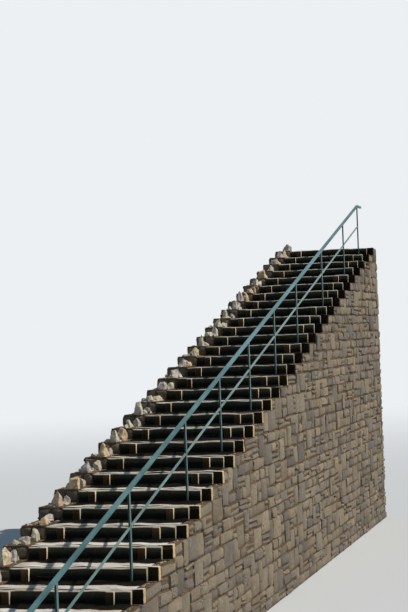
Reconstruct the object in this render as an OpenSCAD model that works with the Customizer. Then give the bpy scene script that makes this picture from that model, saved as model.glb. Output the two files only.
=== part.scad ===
// Long straight flight of timber steps on a bed of fieldstone, with edging stones
// along its left side and a steel handrail along its right side.
// X runs across the steps, Y runs uphill and Z is up.
// The origin is on the ground under the middle of the lowest step.

/* [Steps] */
// Height of each step
rise = 150; // [120:1:180]
// Depth of each step, from riser to riser
going = 575; // [470:1:700]
// Length of the front boards and of the tread planks
board_len = 1540; // [1200:10:1850]

/* [Timber] */
// Thickness of the front board of a riser
board_t = 60; // [40:1:80]
// Radius of the worn top edge of a front board
arris_r = 20; // [5:1:30]
// Thickness of the heavy timber behind the front board
sleeper_t = 90; // [60:1:120]
// How far the heavy timber runs past the right end of the front board
sleeper_reach = 114; // [60:1:160]
// Radius of the long edges of the heavy timber
sleeper_r = 8; // [2:1:20]
// Thickness of the tread planks
plank_t = 50; // [30:1:70]
// Number of planks across a tread
plank_rows = 2; // [1:1:3]
// Open joint between neighbouring timbers
joint = 4; // [2:1:8]

/* [Stakes] */
// Width of a stake, along the riser
stake_w = 86; // [60:1:110]
// Depth of a stake, out from the riser
stake_d = 50; // [35:1:70]
// Length of a stake below the tread that it stands in
stake_in = 250; // [150:5:400]
// How far the top of a stake stays below the top of its board
stake_drop = 8; // [0:1:30]
// Distance from the left end of a board to the outer side of its stake
stake_end_left = 144; // [100:1:220]
// Distance from the right end of a board to the outer side of its stake
stake_end_right = 168; // [100:1:220]
// Width of the worn bevel round the top of a stake
stake_bevel = 6; // [1:1:12]
// Length of the point at the foot of a stake
stake_point = 90; // [40:5:140]
// Width of the blunt end of that point
stake_tip = 24; // [10:1:34]

/* [Handrail] */
// Width of a post, across the steps
post_w = 20; // [15:1:40]
// Depth of a post, along the flight
post_d = 50; // [30:1:60]
// Length of a post below the tread that it stands in
post_in = 300; // [200:5:450]
// Distance from the right end of a board to the middle of the posts
post_end = 157; // [100:1:220]
// Width of the top rail
rail_w = 40; // [30:1:60]
// Depth of the top rail, square to its length
rail_h = 40; // [30:1:60]
// Height of the top rail's centre line above the foot of a post's riser
rail_rise = 980; // [800:5:1180]
// Width of the middle rail
mid_w = 20; // [15:1:35]
// Depth of the middle rail, square to its length
mid_h = 24; // [15:1:40]
// Distance from the top rail's centre line down to the middle rail's
mid_drop = 402; // [250:1:500]
// Length of the level ends of the top rail, from the end post
return_len = 430; // [200:10:600]
// Radius of the long edges of the tubes
tube_r = 3; // [1:0.5:5]

/* [Stone bed] */
// Width of the bed that shows to the left of the boards
shoulder_left = 300; // [200:5:400]
// Width of the bed that shows to the right of the planks
shoulder_right = 90; // [60:5:110]
// How far the right shoulder stays below the treads
shoulder_drop = 15; // [0:1:40]

/* [Edging stones] */
// Number of edging stones beside a step
stones_per_step = 2; // [1:1:3]
// Least height of an edging stone above the tread
stone_low = 95; // [60:5:150]
// Greatest height of an edging stone above the tread
stone_high = 250; // [160:5:350]
// Least thickness of an edging stone
stone_thin = 65; // [50:5:100]
// Greatest thickness of an edging stone
stone_thick = 150; // [110:5:200]
// Gap between an edging stone and the end of the boards
stone_gap = 24; // [20:1:60]
// How far an edging stone may be turned away from the line of the flight
stone_turn = 9; // [0:1:10]

/* [Hidden] */
$fn = 48;
eps = 1;
// Steps in each bay of the handrail, from the lowest bay up
bay_steps = [4, 4, 4, 3, 3, 3, 3, 4, 4, 3];
bays = len(bay_steps);
// Step whose riser carries a post, for each post from the lowest up
post_step = [for (b = [0:bays]) steps_below(b)];
step_count = post_step[bays] + 1;
// The flight is named in three equal parts
part_steps = step_count / 3;

half_len = board_len / 2;
bed_left_x = -half_len - joint - shoulder_left;
bed_right_x = half_len + joint + shoulder_right;
tread_start = board_t + joint + sleeper_t;
plank_start = tread_start + joint;
plank_end = going - joint;
plank_width = (plank_end - plank_start - (plank_rows - 1) * joint) / plank_rows;

stake_left_x = -half_len + stake_end_left;
stake_right_x = half_len - stake_end_right - stake_w;
post_x = half_len - post_end;

rail_angle = atan2(rise, going);
rail_half = rail_h / 2;
rail_mitre = rail_half * tan(rail_angle / 2);
first_post = 0;
last_post = bays;

// Number of steps below the post at the foot of bay b
function steps_below(b) = b == 0 ? 0 : steps_below(b - 1) + bay_steps[b - 1];

// Front of riser n, and the level of the tread that it stands on
function riser_y(n) = (n - 0.5) * going;
function riser_z(n) = n * rise;

// Foot of something driven a given depth into the tread in front of riser n
function foot_z(n, depth) = max(0, riser_z(n) - depth);

// Centre of post p along the flight, and its step
function post_y(p) = riser_y(post_step[p]) - post_d / 2;

// Height of the top rail's centre line over any point of the flight
function pitch_z(y) = (y + going / 2 + post_d / 2) / going * rise + rail_rise;
function rail_low_z() = pitch_z(post_y(first_post));
function rail_high_z() = pitch_z(post_y(last_post));

// Underside of the top rail over any point of the flight
function under_rail_z(y) = min(
    rail_high_z() - rail_half,
    max(rail_low_z() - rail_half, pitch_z(y) - rail_half / cos(rail_angle))
);

function has_post(n) = len(search(n, post_step)) > 0;

// Steps of one third of the flight
function steps_of(third) = [third * part_steps : (third + 1) * part_steps - 1];

// Steady pseudo-random value between 0 and 1 for stone k and property q
function jitter(k, q) = let(s = sin(k * 127.1 + q * 311.7) * 43758.5453) s - floor(s);
function between(low, high, share) = low + (high - low) * share;

// Lays a profile drawn in Y and Z along X, from x0 to x1
module along_x(x0, x1) {
    translate([x0, 0, 0])
        rotate([90, 0, 90])
            linear_extrude(x1 - x0)
                children();
}

// Board section with a rounded top edge at the front
module board_section(depth, height, r) {
    translate([r, 0])
        square([depth - r, height]);
    square([depth, height - r]);
    translate([r, height - r])
        circle(r);
}

// Timber section with both top edges rounded
module sleeper_section(depth, height, r) {
    square([depth, height - r]);
    translate([r, 0])
        square([depth - 2 * r, height]);
    for (y = [r, depth - r])
        translate([y, height - r])
            circle(r);
}

// Side view of the bed under the timbers of steps from to to. The lowest riser
// stands on the ground, so there the bed starts behind its timbers.
module bed_profile(from, to, top) {
    polygon(concat(
        from == 0 ? [] : [[riser_y(from), 0], [riser_y(from), riser_z(from)]],
        [for (n = [from:to]) each [
            [riser_y(n) + tread_start, riser_z(n)],
            [riser_y(n) + tread_start, riser_z(n) + top],
            [riser_y(n + 1), riser_z(n) + top],
            [riser_y(n + 1), n == to ? 0 : riser_z(n + 1)]
        ]]
    ));
}

// Side view of the shoulder that carries the edging stones
module shoulder_profile(from, to) {
    polygon(concat(
        [[riser_y(from), 0]],
        [for (n = [from:to]) each [
            [riser_y(n), riser_z(n + 1)],
            [riser_y(n + 1), riser_z(n + 1)]
        ]],
        [[riser_y(to + 1), 0]]
    ));
}

// Section of a steel tube with rounded edges, centred on the origin
module tube_section(width, height) {
    square([width - 2 * tube_r, height], center = true);
    square([width, height - 2 * tube_r], center = true);
    for (x = [-1, 1], y = [-1, 1])
        translate([x * (width / 2 - tube_r), y * (height / 2 - tube_r)])
            circle(tube_r);
}

// Closed tube that runs uphill from the origin
module tube(length, width, height) {
    rotate([-90, 0, 0])
        linear_extrude(length)
            tube_section(width, height);
}

// Stone bed under one bay of the handrail, with sockets for stakes and posts
module bed(bay) {
    from = post_step[bay];
    to = bay == bays - 1 ? step_count - 1 : post_step[bay + 1] - 1;
    color("tan")
        difference() {
            union() {
                along_x(bed_left_x, -half_len - joint)
                    shoulder_profile(from, to);
                along_x(-half_len - joint, half_len + joint)
                    bed_profile(from, to, rise - plank_t);
                along_x(half_len + joint, bed_right_x)
                    bed_profile(from, to, rise - shoulder_drop);
            }
            for (n = [from + 1 : min(to + 1, step_count - 1)]) {
                stake(stake_left_x, n);
                if (has_post(n))
                    post_foot(n);
                else
                    stake(stake_right_x, n);
            }
        }
}

// One stake in front of riser n. It has a point where it is driven in to its
// full length, and a sawn foot where it stands on the ground.
module stake(x, n) {
    foot = foot_z(n, stake_in);
    top = riser_z(n + 1) - stake_drop;
    point = riser_z(n) < stake_in ? 0 : stake_point;
    translate([x, riser_y(n), 0])
        intersection() {
            translate([0, -stake_d, 0])
                along_x(0, stake_w)
                    stake_outline(stake_d, foot, top, point);
            rotate([90, 0, 0])
                linear_extrude(stake_d)
                    stake_outline(stake_w, foot, top, point);
        }
}

// A stake seen square to one of its sides
module stake_outline(width, foot, top, point) {
    tip = (width - stake_tip) / 2;
    polygon(concat(
        point > 0
            ? [[0, foot + point], [tip, foot], [width - tip, foot], [width, foot + point]]
            : [[0, foot], [width, foot]],
        [
            [width, top - stake_bevel], [width - stake_bevel, top],
            [stake_bevel, top], [0, top - stake_bevel]
        ]
    ));
}

// The part of a post that stands in the bed
module post_foot(n) {
    foot = foot_z(n, post_in);
    translate([post_x - post_w / 2, riser_y(n) - post_d, foot])
        cube([post_w, post_d, riser_z(n + 1) - foot]);
}

module front_boards(third) {
    color("saddlebrown")
        for (n = steps_of(third))
            along_x(-half_len, half_len)
                translate([riser_y(n), riser_z(n)])
                    board_section(board_t, rise, arris_r);
}

module sleepers(third) {
    color("sienna")
        for (n = steps_of(third))
            along_x(-half_len, half_len + sleeper_reach)
                translate([riser_y(n) + board_t + joint, riser_z(n)])
                    sleeper_section(sleeper_t, rise, sleeper_r);
}

// Planks of one tread, notched round what stands at the foot of the next riser
module tread_planks(third) {
    color("burlywood")
        for (n = steps_of(third))
            difference() {
                for (row = [0 : plank_rows - 1])
                    translate([
                        -half_len,
                        riser_y(n) + plank_start + row * (plank_width + joint),
                        riser_z(n + 1) - plank_t
                    ])
                        cube([board_len, plank_width, plank_t]);
                if (n < step_count - 1)
                    plank_notches(n + 1);
            }
}

// Space that the planks leave round the stakes and post of riser n
module plank_notches(n) {
    notch(stake_left_x, stake_w, stake_d, n);
    if (has_post(n))
        notch(post_x - post_w / 2, post_w, post_d, n);
    else
        notch(stake_right_x, stake_w, stake_d, n);
}

module notch(x, width, depth, n) {
    translate([x - joint, riser_y(n) - depth - joint, riser_z(n) - plank_t - eps])
        cube([width + 2 * joint, depth + joint, plank_t + 2 * eps]);
}

module stakes(third) {
    color("peru")
        for (n = steps_of(third)) {
            stake(stake_left_x, n);
            if (!has_post(n))
                stake(stake_right_x, n);
        }
}

// Post p, cut to the underside of the top rail
module post(p) {
    y = post_y(p);
    front = y - post_d / 2;
    back = y + post_d / 2;
    foot = foot_z(post_step[p], post_in);
    bend = y + rail_mitre;
    is_end = p == first_post || p == last_post;
    intersection() {
        translate([post_x, y, foot])
            linear_extrude(pitch_z(y) - foot)
                tube_section(post_w, post_d);
        along_x(post_x - post_w / 2, post_x + post_w / 2)
            polygon(concat(
                [[front, foot], [back, foot], [back, under_rail_z(back)]],
                is_end ? [[bend, under_rail_z(bend)]] : [],
                [[front, under_rail_z(front)]]
            ));
    }
}

module posts(third) {
    color("cadetblue")
        for (p = [first_post:last_post])
            if (floor(post_step[p] / part_steps) == third)
                post(p);
}

// Block that lies uphill of the mitre plane over post p, or else downhill of it
module mitre_block(p, uphill) {
    size = 4 * max(rail_w, rail_h);
    translate([post_x, post_y(p), pitch_z(post_y(p))])
        rotate([rail_angle / 2, 0, 0])
            translate([-size / 2, uphill ? 0 : -size, -size / 2])
                cube(size);
}

// Pitched length of the top rail, mitred at both ends
module top_rail() {
    climb = rail_high_z() - rail_low_z();
    length = norm([post_y(last_post) - post_y(first_post), climb]);
    color("cadetblue")
        difference() {
            translate([post_x, post_y(first_post), rail_low_z()])
                rotate([rail_angle, 0, 0])
                    translate([0, -rail_h, 0])
                        tube(length + 2 * rail_h, rail_w, rail_h);
            mitre_block(first_post, false);
            mitre_block(last_post, true);
        }
}

// Level ends of the top rail, mitred to the pitched length
module top_rail_ends() {
    color("cadetblue") {
        difference() {
            translate([post_x, post_y(first_post) - return_len, rail_low_z()])
                tube(return_len + rail_h, rail_w, rail_h);
            mitre_block(first_post, true);
        }
        difference() {
            translate([post_x, post_y(last_post) - rail_h, rail_high_z()])
                tube(return_len + rail_h, rail_w, rail_h);
            mitre_block(last_post, false);
        }
    }
}

// Middle rail: a separate length between each two posts, cut to their faces
module mid_rails() {
    color("cadetblue")
        for (p = [first_post : last_post - 1]) {
            y0 = post_y(p) + post_d / 2;
            y1 = post_y(p + 1) - post_d / 2;
            z0 = pitch_z(y0) - mid_drop;
            climb = pitch_z(y1) - pitch_z(y0);
            intersection() {
                translate([post_x, y0, z0])
                    rotate([rail_angle, 0, 0])
                        translate([0, -mid_h, 0])
                            tube(norm([y1 - y0, climb]) + 2 * mid_h, mid_w, mid_h);
                translate([post_x - mid_w, y0, z0 - 2 * mid_h])
                    cube([2 * mid_w, y1 - y0, climb + 4 * mid_h]);
            }
        }
}

// Rough slab number k, set on edge: a side outline with a broken top, cut to a rough plan
// and to the outline of its end, which leans to one side
module rough_stone(k, length, thickness, height) {
    a = between(0.04, 0.22, jitter(k, 1)) * length;
    b = between(0.04, 0.22, jitter(k, 2)) * length;
    peak = between(0.32, 0.68, jitter(k, 3)) * length;
    near = between(0.45, 0.90, jitter(k, 4)) * height;
    far = between(0.45, 0.90, jitter(k, 5)) * height;
    e = between(0.06, 0.48, jitter(k, 6)) * thickness;
    f = between(0.06, 0.42, jitter(k, 7)) * thickness;
    g = between(0.02, 0.10, jitter(k, 8)) * thickness;
    left_top = between(0.76, 1, jitter(k, 9)) * height;
    right_top = between(0.76, 1, jitter(k, 10)) * height;
    intersection() {
        along_x(0, thickness)
            polygon([
                [b / 3, 0], [length - a / 3, 0], [length, height * 0.3], [length - a, far],
                [peak + length / 10, height], [peak - length / 10, height * 0.96],
                [b, near], [0, height * 0.3]
            ]);
        linear_extrude(height)
            polygon([
                [e, 0], [thickness - f / 2, 0], [thickness, length * 0.25],
                [thickness - g, length * 0.7], [thickness - f, length],
                [e / 2, length - a / 2], [0, length * 0.6], [g, b]
            ]);
        rotate([90, 0, 0])
            translate([0, 0, -length])
                linear_extrude(length)
                    polygon([
                        [0, 0], [thickness, 0], [thickness - f / 4, height * 0.5],
                        [thickness - f, right_top], [e, left_top], [e / 4, height * 0.4]
                    ]);
    }
}

module edging_stones(third) {
    cell = going / stones_per_step;
    color("lightgray")
        for (n = steps_of(third), s = [0 : stones_per_step - 1]) {
            k = n * stones_per_step + s;
            length = cell * between(0.5, 0.8, jitter(k, 11));
            thickness = between(stone_thin, stone_thick, jitter(k, 12));
            height = between(stone_low, stone_high, jitter(k, 13));
            slack = cell - length;
            translate([
                -half_len - stone_gap - thickness / 2 - between(0, 60, jitter(k, 14)),
                riser_y(n) + s * cell + length / 2 + slack * between(0.3, 0.7, jitter(k, 15)),
                riser_z(n + 1)
            ])
                rotate([0, 0, stone_turn * between(-1, 1, jitter(k, 16))])
                    translate([-thickness / 2, -length / 2, 0])
                        rough_stone(k, length, thickness, height);
        }
}

bed(0);  // bed_01
bed(1);  // bed_02
bed(2);  // bed_03
bed(3);  // bed_04
bed(4);  // bed_05
bed(5);  // bed_06
bed(6);  // bed_07
bed(7);  // bed_08
bed(8);  // bed_09
bed(9);  // bed_10
front_boards(0);  // lower_front_boards
front_boards(1);  // middle_front_boards
front_boards(2);  // upper_front_boards
sleepers(0);  // lower_sleepers
sleepers(1);  // middle_sleepers
sleepers(2);  // upper_sleepers
tread_planks(0);  // lower_tread_planks
tread_planks(1);  // middle_tread_planks
tread_planks(2);  // upper_tread_planks
stakes(0);  // lower_stakes
stakes(1);  // middle_stakes
stakes(2);  // upper_stakes
edging_stones(0);  // lower_edging_stones
edging_stones(1);  // middle_edging_stones
edging_stones(2);  // upper_edging_stones
posts(0);  // lower_posts
posts(1);  // middle_posts
posts(2);  // upper_posts
top_rail();
top_rail_ends();
mid_rails();
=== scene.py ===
"""Finish of a long flight of timber steps on a fieldstone bed, with a steel handrail.

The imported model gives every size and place. This script weathers the timbers, faces the bed with
fieldstones, roughens the edging stones, adds earth, gravel and weld seams, and paints the steel.
"""

import logging
import math
from collections.abc import Iterator
from contextlib import contextmanager
from dataclasses import dataclass
from enum import Enum

import bmesh
import bpy
import numpy as np
from mathutils import Matrix, Vector


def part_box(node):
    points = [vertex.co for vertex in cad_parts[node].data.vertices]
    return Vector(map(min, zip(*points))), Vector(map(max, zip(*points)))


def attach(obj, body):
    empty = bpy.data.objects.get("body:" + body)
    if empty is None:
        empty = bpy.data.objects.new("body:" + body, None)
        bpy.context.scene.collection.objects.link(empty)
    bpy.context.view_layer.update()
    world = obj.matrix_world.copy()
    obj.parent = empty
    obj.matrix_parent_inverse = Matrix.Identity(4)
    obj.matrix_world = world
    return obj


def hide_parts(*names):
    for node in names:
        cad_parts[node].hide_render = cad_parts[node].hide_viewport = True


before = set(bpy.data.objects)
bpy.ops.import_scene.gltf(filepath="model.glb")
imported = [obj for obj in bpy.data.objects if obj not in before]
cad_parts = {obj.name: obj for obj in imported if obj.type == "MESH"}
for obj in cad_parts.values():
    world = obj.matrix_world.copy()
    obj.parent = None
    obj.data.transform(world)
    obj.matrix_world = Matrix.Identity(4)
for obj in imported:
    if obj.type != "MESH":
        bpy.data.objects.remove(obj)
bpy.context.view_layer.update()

LOG = logging.getLogger("steps")
BODY = "root"
STEP_COUNT = 36
STEPS_IN_PART = 12
PARTS = ("lower", "middle", "upper")
STEP_HASH = 12.9898
ROW_HASH = 78.233
MERGE = 1e-5

Piece = bpy.types.Object
Material = bpy.types.Material
Tree = bpy.types.NodeTree
Node = bpy.types.Node
Socket = bpy.types.NodeSocket
Outputs = bpy.types.NodeOutputs
Colour = tuple[float, float, float]
Point = tuple[float, float, float]
Place = tuple[float, float, float, float]


class Along(Enum):
    """The way that the grain of a timber runs."""

    FLIGHT_WIDTH = "across the flight"
    HEIGHT = "up and down"


class Face(Enum):
    """The face of a timber that a split is in."""

    TOP = "top"
    FRONT = "front"


class Pattern(Enum):
    """The pattern that a surface is roughened by."""

    WORN = "CLOUDS"
    BROKEN_ROCK = "VORONOI"


def srgb(red: float, green: float, blue: float) -> Colour:
    """Turn a colour written in screen values of 0 to 255 into a linear one.

    Args:
        red: Red value.
        green: Green value.
        blue: Blue value.

    Returns:
        The linear colour.
    """
    screen = (red, green, blue)
    return tuple(((v / 255 + 0.055) / 1.055) ** 2.4 if v > 10 else v / 255 / 12.92 for v in screen)


def share_of(colour: Colour, share: float) -> Colour:
    """Darken a colour to a share of itself."""
    return tuple(c * share for c in colour)


@dataclass(frozen=True)
class Flight:
    """Sizes of the flight in metres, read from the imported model."""

    rise: float
    going: float
    board_left: float
    board_right: float
    board_t: float
    sleeper_front: float
    sleeper_back: float
    bed_left: float
    bed_right: float
    bed_back: float
    shoulder_edge: float

    @classmethod
    def from_frame(cls) -> "Flight":
        """Read the sizes from the boxes of the nodes.

        Returns:
            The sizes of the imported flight.
        """
        board_low, board_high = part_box("lower_front_boards")
        sleeper_low, sleeper_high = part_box("lower_sleepers")
        bed_low, bed_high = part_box("bed_10")
        going = -2 * board_low.y
        last_riser = (STEPS_IN_PART - 1.5) * going
        # The left shoulder keeps as far from the boards' ends as the sleepers keep behind the boards.
        joint = sleeper_low.y - board_high.y + last_riser - board_low.y
        return cls(
            rise=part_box("upper_front_boards")[1].z / STEP_COUNT,
            going=going,
            board_left=board_low.x,
            board_right=board_high.x,
            board_t=board_high.y - last_riser,
            sleeper_front=sleeper_low.y - board_low.y,
            sleeper_back=sleeper_high.y - last_riser,
            bed_left=bed_low.x,
            bed_right=bed_high.x,
            bed_back=bed_high.y,
            shoulder_edge=board_low.x - joint,
        )

    def riser_y(self, step: float) -> float:
        """Give the front of a riser along the flight."""
        return (step - 0.5) * self.going

    def foot_z(self, step: float) -> float:
        """Give the level of the foot of a riser."""
        return step * self.rise


# Modelling helpers


def deselect_all() -> None:
    """Leave edit mode and deselect every object."""
    if bpy.context.object and bpy.context.object.mode != "OBJECT":
        bpy.ops.object.mode_set(mode="OBJECT")
    bpy.ops.object.select_all(action="DESELECT")


def make_active(piece: Piece) -> None:
    """Select one object and nothing else, and make it the active one.

    Args:
        piece: The object.
    """
    deselect_all()
    piece.select_set(True)
    bpy.context.view_layer.objects.active = piece


@contextmanager
def editing(piece: Piece) -> Iterator[None]:
    """Hold one object in edit mode, with all of it selected at the start.

    Args:
        piece: The object.

    Returns:
        A context that leaves edit mode at its end.
    """
    make_active(piece)
    bpy.ops.object.mode_set(mode="EDIT")
    bpy.ops.mesh.select_all(action="SELECT")
    yield
    bpy.ops.object.mode_set(mode="OBJECT")


def apply_modifiers(piece: Piece) -> None:
    """Apply all modifiers of a piece in their order.

    Args:
        piece: The piece.
    """
    make_active(piece)
    for modifier in list(piece.modifiers):
        bpy.ops.object.modifier_apply(modifier=modifier.name)


def copy_of_node(node: str, name: str) -> Piece:
    """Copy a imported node's mesh, merge its triangles and clear its flats.

    Args:
        node: Name of the node.
        name: Name of the new piece.

    Returns:
        The new piece.
    """
    piece = bpy.data.objects.new(name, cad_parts[node].data.copy())
    bpy.context.scene.collection.objects.link(piece)
    piece.data.materials.clear()
    make_active(piece)
    bpy.ops.mesh.customdata_custom_splitnormals_clear()
    with editing(piece):
        bpy.ops.mesh.remove_doubles(threshold=MERGE)
        bpy.ops.mesh.dissolve_limited(angle_limit=math.radians(0.5))
    return piece


def slice_across(piece: Piece, axis: int, low: float, high: float, pitch: float) -> None:
    """Cut a piece across at even steps, so that it has points to wear and warp.

    Args:
        piece: The piece to cut.
        axis: 0, 1 or 2 for cuts square to X, Y or Z.
        low: Where the first length starts.
        high: Where the last length ends.
        pitch: Greatest distance between two cuts.
    """
    lengths = max(1, math.ceil((high - low) / pitch))
    normal = [0.0, 0.0, 0.0]
    normal[axis] = 1.0
    with editing(piece):
        for k in range(1, lengths):
            point = [0.0, 0.0, 0.0]
            point[axis] = low + (high - low) * k / lengths
            bpy.ops.mesh.select_all(action="SELECT")
            bpy.ops.mesh.bisect(plane_co=point, plane_no=normal)


@dataclass(frozen=True)
class Rough:
    """A layer of roughness: the size of its pattern, its whole depth and its kind."""

    grain: float
    depth: float
    kind: Pattern = Pattern.WORN


def roughen(piece: Piece, *layers: Rough) -> None:
    """Move a surface in and out, after the modifiers that the piece has, and apply them all.

    Args:
        piece: The piece to roughen.
        *layers: The layers of roughness, in their order.
    """
    for layer in layers:
        pattern = bpy.data.textures.new(f"{piece.name}_{layer.grain:.3f}", layer.kind.value)
        pattern.noise_scale = layer.grain
        if layer.kind is Pattern.WORN:
            pattern.noise_depth = 2
        modifier = piece.modifiers.new(f"rough_{layer.grain:.3f}", "DISPLACE")
        modifier.texture = pattern
        modifier.texture_coords = "LOCAL"
        modifier.strength = layer.depth
        modifier.mid_level = 0.5
    apply_modifiers(piece)


def bevel_edges(piece: Piece, width: float, segments: int, angle: float = 40) -> None:
    """Add a modifier that rounds the sharp edges of a piece.

    Args:
        piece: The piece to round.
        width: Width of the rounding in metres.
        segments: Faces across the rounding.
        angle: Least angle in degrees of an edge that is rounded.
    """
    modifier = piece.modifiers.new("worn_edges", "BEVEL")
    modifier.width = width
    modifier.segments = segments
    modifier.limit_method = "ANGLE"
    modifier.angle_limit = math.radians(angle)
    modifier.use_clamp_overlap = True


def points_of(piece: Piece) -> np.ndarray:
    """Read where the points of a piece are.

    Args:
        piece: The piece.

    Returns:
        A row of X, Y and Z for each point.
    """
    points = np.zeros(len(piece.data.vertices) * 3)
    piece.data.vertices.foreach_get("co", points)
    return points.reshape(-1, 3)


def move_points(piece: Piece, points: np.ndarray) -> None:
    """Move the points of a piece to new places."""
    piece.data.vertices.foreach_set("co", points.ravel())
    piece.data.update()


def set_tone(piece: Piece, tones: np.ndarray) -> None:
    """Store a value of 0 to 1 on each point, for the finish to vary by."""
    attribute = piece.data.attributes.new("tone", "FLOAT", "POINT")
    attribute.data.foreach_set("value", tones.astype(np.float32))


def tones_from(numbers: np.ndarray, spread: float) -> np.ndarray:
    """Turn numbers into steady tones of 0 to 1 that look drawn at random."""
    return np.modf(np.abs(np.sin(numbers) * spread))[0]


def join_all(pieces: list[Piece]) -> Piece:
    """Join pieces into one.

    Args:
        pieces: The pieces, which all become part of the first.

    Returns:
        The first piece.
    """
    deselect_all()
    for piece in pieces:
        piece.select_set(True)
    bpy.context.view_layer.objects.active = pieces[0]
    bpy.ops.object.join()
    return pieces[0]


def hand_over(piece: Piece, finish: Material, slot: str, *stands_for: str, angle: float = 35) -> None:
    """Shade a piece, give it its finish, let it ride on the body and report it.

    Args:
        piece: The finished piece.
        finish: Its material.
        slot: The record's material slot, which is not used.
        *stands_for: Names of the nodes that the piece stands for.
        angle: Its faces are shaded as one surface where they meet at less than this, in degrees.
    """
    make_active(piece)
    bpy.ops.object.shade_smooth_by_angle(angle=math.radians(angle))
    piece.data.materials.clear()
    piece.data.materials.append(finish)
    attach(piece, BODY)
    if stands_for:
        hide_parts(*stands_for)
    LOG.info("%s: %d faces", piece.name, len(piece.data.polygons))


def finish_node(node: str, finish: Material) -> None:
    """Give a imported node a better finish."""
    for material_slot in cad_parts[node].material_slots:
        material_slot.material = finish


class Copies:
    """Copies of a shape that is modelled once, each with its own points, joined into one mesh."""

    def __init__(self, shape: Piece) -> None:
        """Take over a modelled shape.

        Args:
            shape: The shape, whose object is removed.
        """
        self.unit = points_of(shape)
        self.faces = [tuple(face.vertices) for face in shape.data.polygons]
        self.placed, self.tones = [], []
        bpy.data.objects.remove(shape)

    def add(self, points: np.ndarray, tone: float | None = None) -> None:
        """Add a copy.

        Args:
            points: The shape's points where the copy has them.
            tone: Tone of the copy, for a piece whose finish reads it.
        """
        self.placed.append(points)
        if tone is not None:
            self.tones += [tone] * len(points)

    def join(self, name: str) -> Piece:
        """Join the copies and start again with none.

        Args:
            name: Name of the new piece.

        Returns:
            The new piece.
        """
        starts = range(0, len(self.placed) * len(self.unit), len(self.unit))
        faces = [tuple(index + start for index in face) for start in starts for face in self.faces]
        mesh = bpy.data.meshes.new(name)
        mesh.from_pydata(np.concatenate(self.placed).tolist(), [], faces)
        mesh.update()
        piece = bpy.data.objects.new(name, mesh)
        bpy.context.scene.collection.objects.link(piece)
        if self.tones:
            set_tone(piece, np.array(self.tones))
        self.placed, self.tones = [], []
        return piece


# Shader building


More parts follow.
